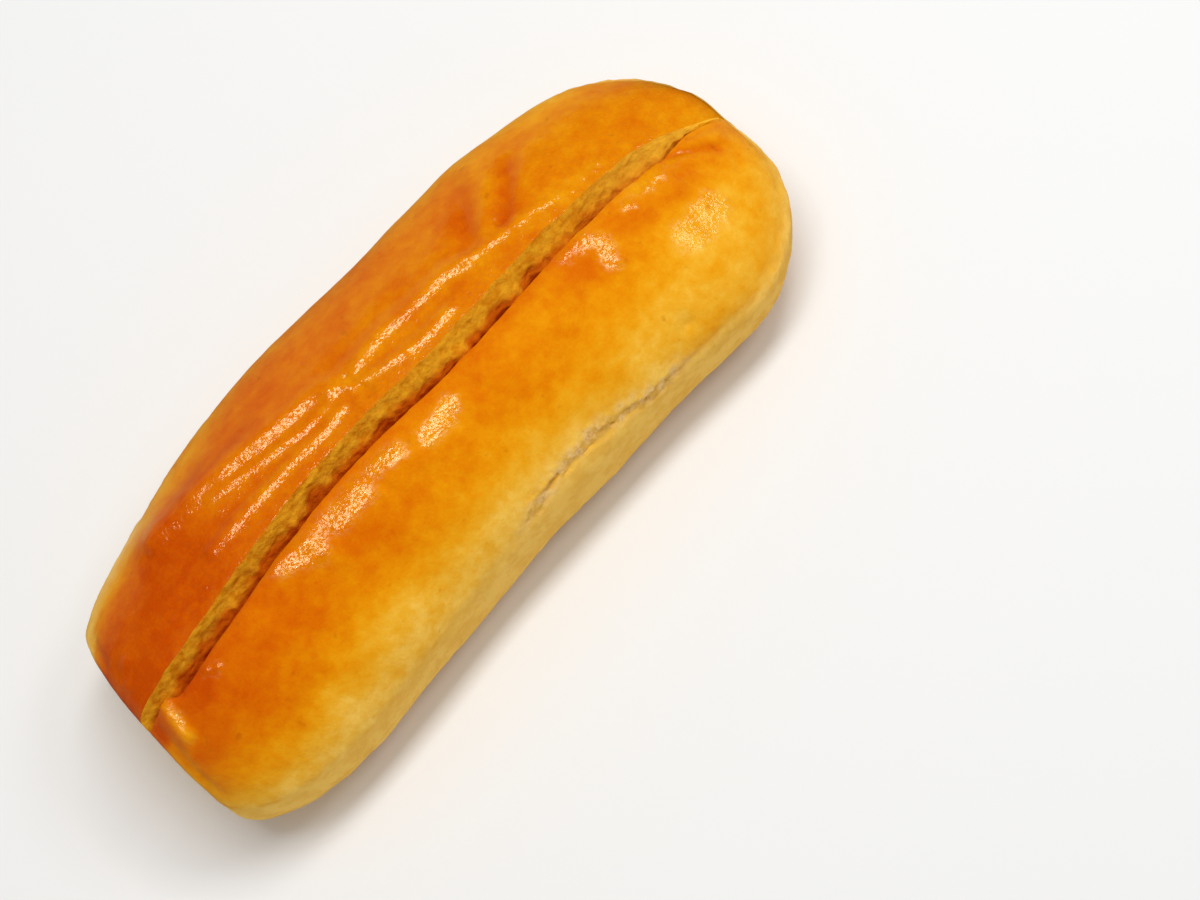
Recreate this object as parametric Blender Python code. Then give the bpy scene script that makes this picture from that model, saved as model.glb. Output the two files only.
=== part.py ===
# A hot dog bun with a slit along its crown, as one closed solid.
#
# X runs along the bun, from its flattened near end to its round far end. Y runs across it,
# to the left lobe, and Z runs up. The origin is at the middle of the flat base.
# All sizes are in metres. Those of the body are taken along and across its own spine.

import math

import bmesh
import bpy
from mathutils import Vector

# Body
HALF_LENGTH = 0.077          # middle to either end, before the near end is flattened
LEFT_REACH = 0.0319          # spine to the left side, at its widest height
RIGHT_REACH = 0.0285         # spine to the right side
WIDEST_HEIGHT = 0.017        # height above the base where the bun is widest
CROWN_RISE = 0.0214          # from there up to the crown
UNDERSIDE_DROP = 0.020       # from there down, if the base were not flat
CROWN_FULLNESS = 1.92        # 2 is an ellipse, more is squarer
FOOT_FULLNESS = 3.56
NEAR_END_FULLNESS = 4.0
FAR_END_FULLNESS = 3.6
CROWN_FALL = 0.24            # share of the rise that is lost at both ends
CROWN_TILT = 0.12            # share by which the near end is higher and the far end lower
CROWN_LINE_END = 0.985       # the crown line stays level past this share of the half length
SPINE_BOW = 0.0016           # the spine bows to the left at mid length
SPINE_SWAY = 0.0012

# Where a side swells out (+) or draws in (-): place along X, half width, amount
LEFT_SWELLS = (
    (-0.012, 0.022, 0.0020),
    (-0.030, 0.012, 0.0005),
    (-0.060, 0.014, -0.0009),
    (0.036, 0.012, 0.0009),
)
RIGHT_SWELLS = (
    (-0.009, 0.022, -0.0010),
    (0.059, 0.018, 0.0046),
    (-0.058, 0.016, 0.0012),
)

# Where the round far end swells out or draws in: place along Y, half width, amount
FAR_END_SWELLS = (
    (0.0040, 0.0060, 0.0011),
    (0.0220, 0.0080, -0.0010),
)

# Near end, pressed nearly flat and slightly askew
NEAR_CUT = 0.0042            # length that the pressing takes off
NEAR_SKEW = 0.16             # slope of the face across the bun
NEAR_LEAN = -0.08            # slope of the face over its height
LEAN_HEIGHT = 0.020          # height that the lean turns about
NEAR_EDGE = 0.0010           # softness of the edge round the face
PRESS_REACH = 20.0           # in softnesses from the face: the pressing isn't felt beyond it

# Slit along the crown
SLIT_COURSE = (              # X, Y of points along its middle
    (-0.076, 0.0002),
    (-0.052, 0.0011),
    (-0.018, 0.0028),
    (0.008, 0.0012),
    (0.045, 0.0010),
    (0.064, -0.0005),
    (0.078, -0.0036),
)
SLIT_NEAR_RUN = -0.086       # the cut runs out through the near end
SLIT_FADE_START = 0.056      # from here the cut grows shallower
SLIT_STOP = 0.0755           # and ends on the far shoulder
SLIT_SECTION = (             # depth below the crown; left wall and right wall from the middle
    (-0.0060, 0.0024, 0.0024),   # clear above the crown
    (0.0000, 0.0024, 0.0024),    # lips
    (0.0048, 0.00225, 0.00225),  # foot of the open mouth
    (0.0076, -0.0006, 0.0018),   # the mouth has narrowed to the cut
    (0.0240, -0.0008, 0.0016),   # foot of the cut, at mid length
)
FADE_WIDTH = 0.35            # share of the slit's width that is left where it ends
FADE_CLEARANCE = 0.0012      # the blade has risen this far above the crown there
LEAST_DEPTH = 0.02           # share of the depth that stays, so that the blade's levels never meet
LIP_FROM = 0.0013            # the lips' roll is full from here inwards
RIGHT_LIP_DROP = 0.0014      # the right lip rolls down into the slit
RIGHT_LIP_WIDTH = 0.0058
LEFT_LIP_DROP = 0.0004
LEFT_LIP_WIDTH = 0.0025

# Torn seam along each side, where the glazed crust ends above the paler wall
SEAM_DEPTH = 0.0007
SEAM_WIDTH = 0.0020
SEAM_COURSE = (              # X and height of the right seam
    (-0.066, 0.0185),
    (-0.038, 0.0180),
    (-0.012, 0.0205),
    (0.010, 0.0248),
    (0.030, 0.0213),
    (0.048, 0.0203),
    (0.070, 0.0195),
)
LEFT_SEAM_COURSE = (
    (-0.066, 0.0190),
    (-0.030, 0.0205),
    (0.020, 0.0190),
    (0.066, 0.0195),
)
WALL_PROUD = 0.0009          # the wall stands out below the seam round the far end
WALL_PROUD_FROM = 0.046
WALL_PROUD_TO = 0.066
WALL_PROUD_DROP = 0.003      # and is full at this depth below it

# Creases (-) and folds (+) in the crust: start X, Y, end X, Y, half width, height
CRUST_FOLDS = (
    (0.0370, 0.0270, 0.0300, 0.0060, 0.0022, -0.0008),
    (0.0430, 0.0250, 0.0330, 0.0070, 0.0030, 0.0005),
    (0.0280, 0.0235, 0.0240, 0.0100, 0.0026, -0.0006),
    (-0.0070, 0.0150, -0.0062, 0.0050, 0.0018, -0.0005),
    (-0.0390, 0.0160, -0.0080, 0.0095, 0.0022, 0.0004),
    (-0.0060, 0.0105, 0.0245, 0.0070, 0.0020, 0.0004),
    (-0.0390, 0.0110, -0.0100, 0.0065, 0.0018, -0.0003),
    (0.0620, 0.0045, 0.0700, -0.0110, 0.0022, -0.0005),
    (0.0570, -0.0060, 0.0660, -0.0160, 0.0026, 0.0004),
    (-0.0690, 0.0160, -0.0700, 0.0040, 0.0016, -0.0006),
    (-0.0690, -0.0060, -0.0715, -0.0170, 0.0016, -0.0006),
)
DIMPLE = (0.0415, -0.0250, 0.0253)
DIMPLE_WIDTH = 0.0026
DIMPLE_DEPTH = 0.0008

# Parts of the outward normal between which a relief fades in or out
CROWN_SLOPE = (0.15, 0.5)    # upward part: folds and lips fade in
SIDE_SLOPE = (0.45, 0.8)     # up or down: the seam fades out
NEAR_SLOPE = (0.75, 0.9)     # towards the near end: the seam fades out
FAR_SLOPE = (0.2, 0.7)       # towards the far end: its swells fade in

# Gentle unevenness of hand-laid dough: a slow wave and a ripple that crosses it
UNEVENNESS = 0.00012
UNEVEN_LENGTH = 0.034        # of one slow wave along the bun
WAVE_SHIFT = 1.3
WAVE_ROUND = 0.8             # waves round the bun for each one along it
RIPPLE_SHARE = 0.6           # of the slow wave's height
RIPPLE_ALONG = 1.7           # ripples along, and up, for each slow wave
RIPPLE_UP = 1.3
RIPPLE_SLANT = 0.6
RIPPLE_SHIFT_ALONG = 0.4
RIPPLE_SHIFT_UP = 2.0

# Mesh
STEPS_ALONG = 54
STEPS_TO_SIDE = 11           # from the crown line to either side
STEPS_UPPER = 8              # from the widest line to the shoulder
STEPS_LOWER = 4              # from the widest line to the base
SPREAD_POWER = 1.3           # above 1, the steps crowd towards the crown line
BLADE_STEPS = 60
FLAT_WITHIN = 1e-6           # points this near the base plane are put onto it
SHARP_FROM = 40.0            # degrees: edges that bend more stay crisp

CRUST_COLOUR = (0.62, 0.24, 0.035, 1.0)
CRUST_ROUGHNESS = 0.38


def mix(start, end, share):
    return start + (end - start) * share


def ease(low, high, value):
    """0 below low, 1 above high, smooth between."""
    share = min(max((value - low) / (high - low), 0.0), 1.0)
    return share * share * (3.0 - 2.0 * share)


def hump(value, middle, half_width):
    return math.exp(-((value - middle) / half_width) ** 2)


def along_course(points, place):
    """Height at a place of the smooth curve through points, level beyond its ends."""
    if place <= points[0][0]:
        return points[0][1]
    if place >= points[-1][0]:
        return points[-1][1]
    slopes = []
    for index in range(len(points)):
        before = points[max(index - 1, 0)]
        after = points[min(index + 1, len(points) - 1)]
        slopes.append((after[1] - before[1]) / (after[0] - before[0]))
    index = max(i for i in range(len(points) - 1) if points[i][0] <= place)
    (x0, y0), (x1, y1) = points[index], points[index + 1]
    span = x1 - x0
    share = (place - x0) / span
    bend = y0 + slopes[index] * span / 3.0
    unbend = y1 - slopes[index + 1] * span / 3.0
    rest = 1.0 - share
    return (y0 * rest ** 3 + 3.0 * bend * rest * rest * share
            + 3.0 * unbend * rest * share * share + y1 * share ** 3)


def spine_offset(along):
    """Sideways place of the spine, for a place along it from -1 to 1."""
    return SPINE_BOW * (1.0 - along * along) + SPINE_SWAY * (along ** 3 - along)


def crown_share(along):
    """Share of the full crown rise at a place along the bun from -1 to 1."""
    return 1.0 - CROWN_FALL * along * along - CROWN_TILT * along


def crown_height(x):
    """Height of the smooth crown over the middle of the bun."""
    along = min(max(x / HALF_LENGTH, -CROWN_LINE_END), CROWN_LINE_END)
    fullness = NEAR_END_FULLNESS if along < 0.0 else FAR_END_FULLNESS
    roundness = (1.0 - abs(along) ** fullness) ** (1.0 / fullness)
    return WIDEST_HEIGHT + CROWN_RISE * crown_share(along) * roundness


def side_reach(x, left):
    reach = LEFT_REACH if left else RIGHT_REACH
    for middle, half_width, amount in (LEFT_SWELLS if left else RIGHT_SWELLS):
        reach += amount * hump(x, middle, half_width)
    return reach


def press_near_end(x, y, z):
    """X after the near end has been pressed against its slanting plane."""
    face = -HALF_LENGTH + NEAR_CUT + NEAR_SKEW * y + NEAR_LEAN * (z - LEAN_HEIGHT)
    past = (x - face) / NEAR_EDGE
    if past > PRESS_REACH:
        return x
    return face + NEAR_EDGE * math.log1p(math.exp(past))


def body_point(cube_point):
    """Carries a point of the cube from -1 to 1 onto the smooth bun."""
    bx, by, bz = cube_point
    ring = max(abs(by), abs(bz))
    fullness = CROWN_FULLNESS if bz > 0.0 else FOOT_FULLNESS
    reach = (abs(by) ** fullness + abs(bz) ** fullness) ** (1.0 / fullness)
    inward = ring / reach if ring > 0.0 else 0.0
    end_fullness = NEAR_END_FULLNESS if bx < 0.0 else FAR_END_FULLNESS
    shrink = (abs(bx) ** end_fullness + ring ** end_fullness) ** (-1.0 / end_fullness)
    along = bx * shrink
    across = by * inward * shrink
    up = bz * inward * shrink
    x = along * HALF_LENGTH
    y = across * side_reach(x, across > 0.0) + spine_offset(along)
    # the grid line along the crown follows the slit
    y += (along_course(SLIT_COURSE, x) - spine_offset(along)) * (1.0 - abs(across)) ** 2
    rise = CROWN_RISE * crown_share(along) if up > 0.0 else UNDERSIDE_DROP
    z = WIDEST_HEIGHT + up * rise
    return Vector((press_near_end(x, y, z), y, z))


def fold_height(x, y):
    """Sum of the creases and folds in the crust at a place seen from above."""
    total = 0.0
    for x0, y0, x1, y1, half_width, height in CRUST_FOLDS:
        run = Vector((x1 - x0, y1 - y0))
        offset = Vector((x - x0, y - y0))
        share = min(max(offset.dot(run) / run.length_squared, 0.0), 1.0)
        distance = (offset - run * share).length
        total += height * hump(distance, 0.0, half_width)
    return total


def lip_drop(x, y):
    """How far the crust has rolled down towards the slit."""
    aside = y - along_course(SLIT_COURSE, x)
    if aside < 0.0:
        share = ease(LIP_FROM, LIP_FROM + RIGHT_LIP_WIDTH, -aside)
        drop = RIGHT_LIP_DROP * (1.0 - share)
    else:
        share = ease(LIP_FROM, LIP_FROM + LEFT_LIP_WIDTH, aside)
        drop = LEFT_LIP_DROP * (1.0 - share)
    return drop * (1.0 - ease(SLIT_FADE_START, SLIT_STOP, x))


def seam_relief(x, y, z):
    """Groove of the torn seam, and the wall that stands proud below it at the far end."""
    course = LEFT_SEAM_COURSE if y > 0.0 else SEAM_COURSE
    seam = along_course(course, x)
    groove = -SEAM_DEPTH * hump(z, seam, SEAM_WIDTH)
    proud = WALL_PROUD * ease(WALL_PROUD_FROM, WALL_PROUD_TO, x)
    return groove + proud * ease(seam, seam - WALL_PROUD_DROP, z)


def unevenness(x, y, z):
    turn = 2.0 * math.pi / UNEVEN_LENGTH
    wave = math.sin(turn * x + WAVE_SHIFT) * math.cos(WAVE_ROUND * turn * (y + z))
    ripple = math.sin(RIPPLE_ALONG * turn * (x - RIPPLE_SLANT * y) + RIPPLE_SHIFT_ALONG)
    ripple *= math.sin(RIPPLE_UP * turn * z + RIPPLE_SHIFT_UP)
    return UNEVENNESS * (wave + RIPPLE_SHARE * ripple)


def relief(point, normal):
    """Height of the crust's own relief at a point of the smooth bun."""
    x, y, z = point
    upper = ease(*CROWN_SLOPE, normal.z)
    side = 1.0 - ease(*SIDE_SLOPE, abs(normal.z))
    near_face = ease(*NEAR_SLOPE, -normal.x)
    far_face = ease(*FAR_SLOPE, normal.x)
    total = upper * (fold_height(x, y) - lip_drop(x, y))
    total += side * (1.0 - near_face) * seam_relief(x, y, z)
    for place, half_width, amount in FAR_END_SWELLS:
        total += amount * hump(y, place, half_width) * far_face
    distance = (Vector(DIMPLE) - Vector(point)).length
    total -= DIMPLE_DEPTH * hump(distance, 0.0, DIMPLE_WIDTH)
    return total + unevenness(x, y, z)


def gridded_cube(steps_x, steps_y, steps_z):
    """Cube from -1 to 1 as a bmesh, cut into a grid at the given places on each axis."""
    mesh = bmesh.new()
    bmesh.ops.create_cube(mesh, size=2.0)
    for axis, places in enumerate((steps_x, steps_y, steps_z)):
        normal = Vector((0.0, 0.0, 0.0))
        normal[axis] = 1.0
        for place in places:
            geometry = mesh.verts[:] + mesh.edges[:] + mesh.faces[:]
            bmesh.ops.bisect_plane(mesh, geom=geometry, plane_co=normal * place, plane_no=normal)
    return mesh


def inner_steps(count, low=-1.0, high=1.0):
    return [mix(low, high, i / count) for i in range(1, count)]


def as_object(mesh, name, collection):
    data = bpy.data.meshes.new(name)
    mesh.to_mesh(data)
    mesh.free()
    item = bpy.data.objects.new(name, data)
    collection.objects.link(item)
    return item


def flatten_base(mesh):
    """Cuts the underside off at the base plane and closes it with one flat face."""
    geometry = mesh.verts[:] + mesh.edges[:] + mesh.faces[:]
    cut = bmesh.ops.bisect_plane(
        mesh, geom=geometry, plane_co=(0.0, 0.0, 0.0), plane_no=(0.0, 0.0, 1.0), clear_inner=True)
    rim = [item for item in cut["geom_cut"] if isinstance(item, bmesh.types.BMEdge)]
    bmesh.ops.edgeloop_fill(mesh, edges=rim)
    for vert in mesh.verts:
        if abs(vert.co.z) < FLAT_WITHIN:
            vert.co.z = 0.0
    bmesh.ops.recalc_face_normals(mesh, faces=mesh.faces)


def build_bun(collection):
    side_steps = [(i / STEPS_TO_SIDE) ** SPREAD_POWER for i in range(1, STEPS_TO_SIDE)]
    steps_y = [-step for step in side_steps] + [0.0] + side_steps
    steps_z = inner_steps(STEPS_LOWER, -1.0, 0.0) + [0.0] + inner_steps(STEPS_UPPER, 0.0, 1.0)
    mesh = gridded_cube(inner_steps(STEPS_ALONG), steps_y, steps_z)
    for vert in mesh.verts:
        vert.co = body_point(vert.co)
    mesh.normal_update()
    moves = [(vert, vert.normal * relief(vert.co, vert.normal)) for vert in mesh.verts]
    for vert, move in moves:
        vert.co += move
    flatten_base(mesh)
    return as_object(mesh, "bun", collection)


def blade_point(cube_point):
    """Carries a point of the blade's cube to the slit: the top is level 0 of its section."""
    bx, by, bz = cube_point
    x = mix(SLIT_NEAR_RUN, SLIT_STOP, (bx + 1.0) / 2.0)
    level = round((1.0 - bz) / 2.0 * (len(SLIT_SECTION) - 1))
    depth, left, right = SLIT_SECTION[level]
    fade = ease(SLIT_FADE_START, SLIT_STOP, x)
    deep = depth if depth < 0.0 else depth * max(1.0 - fade, LEAST_DEPTH)
    z = crown_height(x) + FADE_CLEARANCE * fade - deep
    y = along_course(SLIT_COURSE, x) + (left if by > 0.0 else -right) * mix(1.0, FADE_WIDTH, fade)
    return Vector((x, y, z))


def build_slit_blade(collection):
    mesh = gridded_cube(inner_steps(BLADE_STEPS), [], inner_steps(len(SLIT_SECTION) - 1))
    for vert in mesh.verts:
        vert.co = blade_point(vert.co)
    blade = as_object(mesh, "slit_blade", collection)
    blade.hide_render = True
    blade.display_type = 'WIRE'
    return blade


def crust_material():
    material = bpy.data.materials.new("glazed_crust")
    material.use_nodes = True
    shader = material.node_tree.nodes["Principled BSDF"]
    shader.inputs["Base Color"].default_value = CRUST_COLOUR
    shader.inputs["Roughness"].default_value = CRUST_ROUGHNESS
    shader.inputs["Metallic"].default_value = 0.0
    return material


def new_collection(name):
    collection = bpy.data.collections.new(name)
    bpy.context.scene.collection.children.link(collection)
    return collection


def stand_on_origin(bun, blade):
    """Moves both so that the middle of the bun's outline, seen from above, is the origin."""
    for axis in (0, 1):
        places = [vert.co[axis] for vert in bun.data.vertices]
        middle = (min(places) + max(places)) / 2.0
        bun.location[axis] = -middle
        blade.location[axis] = -middle


def main():
    for item in list(bpy.data.objects):
        bpy.data.objects.remove(item, do_unlink=True)
    bun = build_bun(new_collection("hot_dog_bun"))
    blade = build_slit_blade(new_collection("cutters"))
    stand_on_origin(bun, blade)
    bun.data.materials.append(crust_material())
    slit = bun.modifiers.new("slit", 'BOOLEAN')
    slit.operation = 'DIFFERENCE'
    slit.solver = 'EXACT'
    slit.object = blade
    bun.data.shade_smooth()
    bun.data.set_sharp_from_angle(angle=math.radians(SHARP_FROM))


main()
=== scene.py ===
import math

import bpy
import numpy as np
from mathutils import Matrix, Vector, noise


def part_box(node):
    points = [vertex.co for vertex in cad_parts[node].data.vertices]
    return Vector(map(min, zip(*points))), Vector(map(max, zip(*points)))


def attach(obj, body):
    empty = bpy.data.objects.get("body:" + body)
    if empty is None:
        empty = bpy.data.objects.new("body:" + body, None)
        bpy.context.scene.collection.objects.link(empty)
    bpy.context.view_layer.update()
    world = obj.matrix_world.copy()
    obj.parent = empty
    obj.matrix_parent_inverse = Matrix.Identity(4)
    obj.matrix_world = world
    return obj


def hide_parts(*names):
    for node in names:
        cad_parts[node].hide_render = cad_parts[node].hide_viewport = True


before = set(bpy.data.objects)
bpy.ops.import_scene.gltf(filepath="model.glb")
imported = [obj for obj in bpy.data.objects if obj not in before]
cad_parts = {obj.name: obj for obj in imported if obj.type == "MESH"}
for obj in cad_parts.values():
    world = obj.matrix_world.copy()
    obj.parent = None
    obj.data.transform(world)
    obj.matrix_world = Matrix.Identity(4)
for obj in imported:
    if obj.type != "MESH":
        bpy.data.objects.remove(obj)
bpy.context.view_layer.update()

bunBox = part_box("bun")
print("frame loaded")

# The bun's body, in metres: x along it to the round far end, y across it to the left lobe
body = {
    "halfLength": 0.077,
    "leftReach": 0.0319, "rightReach": 0.0285,
    "widestHeight": 0.017, "crownRise": 0.0214, "undersideDrop": 0.020,
    "crownFullness": 1.92, "footFullness": 3.56,     # 2 is an ellipse, more is squarer
    "nearFullness": 4.0, "farFullness": 3.6,
    "crownFall": 0.24, "crownTilt": 0.12,
    "crownLineEnd": 0.985,                           # the crown stays level past this share of the half length
    "spineBow": 0.0016, "spineSway": 0.0012,
    "leftSwells": [(-0.012, 0.022, 0.0020), (-0.030, 0.012, 0.0005),
                   (-0.060, 0.014, -0.0009), (0.036, 0.012, 0.0009)],
    "rightSwells": [(-0.009, 0.022, -0.0010), (0.059, 0.018, 0.0046), (-0.058, 0.016, 0.0012)],
    "farSwells": [(0.0040, 0.0060, 0.0011), (0.0220, 0.0080, -0.0010)],
    "nearCut": 0.0042, "nearSkew": 0.16, "nearLean": -0.08, "leanHeight": 0.020,
    "nearEdge": 0.0012,
    "baseEdge": 0.00025,                             # softness of the edge of the flat base
}

# The slit along the crown
slit = {
    "course": [(-0.076, 0.0002), (-0.052, 0.0011), (-0.018, 0.0028), (0.008, 0.0012),
               (0.045, 0.0010), (0.064, -0.0005), (0.078, -0.0036)],
    "nearRun": -0.086, "fadeStart": 0.058, "stop": 0.0790,
    # depth below the crown, left wall near and far, right wall
    "section": [(-0.0060, 0.0024, 0.0024, 0.0024), (0.0, 0.0022, 0.0022, 0.0024),
                (0.0010, 0.0018, 0.0017, 0.0023), (0.0022, 0.0013, 0.0010, 0.0022),
                (0.0036, 0.0007, 0.0001, 0.0021), (0.0052, 0.0000, -0.0008, 0.0020),
                (0.0080, -0.0007, -0.0010, 0.0018), (0.0240, -0.0010, -0.0010, 0.0016)],
    "samples": [3, 5, 7, 8, 8, 6, 4],                # rows of points between those depths
    "narrowTo": 0.0735, "fadeWidth": 0.20, "fadeClearance": 0.0003,
    "shallowFrom": 0.054, "shallowTo": 0.076, "shallowShare": 0.25,
    "leastDepth": 0.1,                               # share of the depth that stays where the slit ends
    "leanFrom": -0.030, "leanTo": 0.015,             # between these the left wall takes on its far slope
    # relief of the torn crumb: height, size and seed of the noise
    "lumps": (0.00028, 0.0026, 0.0), "fine": (0.00010, 0.0010, 5.0),
    "lip": (0.00020, 0.0045, 9.0), "foot": (0.0010, 0.0046, 31.0),
    "leftSeed": 21.0, "rightSeed": 47.0,
    "roughBelow": 0.0014, "footDepths": (0.0026, 0.0046), "smoothDepths": (0.014, 0.022),
    # shares of the relief that are left on the right wall and at the far end
    "rightShare": 0.35, "farShare": 0.4, "farAlong": (0.064, 0.074),
    "crumbLift": 0.4,                                # how far the crumb's relief rises as it stands out
    # the flap: at the near end the right lip reaches into the slit
    "flapFrom": -0.0645, "flapTo": -0.0672, "flapShare": 0.25, "flapRollShare": 0.3, "flapLipFrom": 0.0004,
    "stepsAlong": 460,
}

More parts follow.
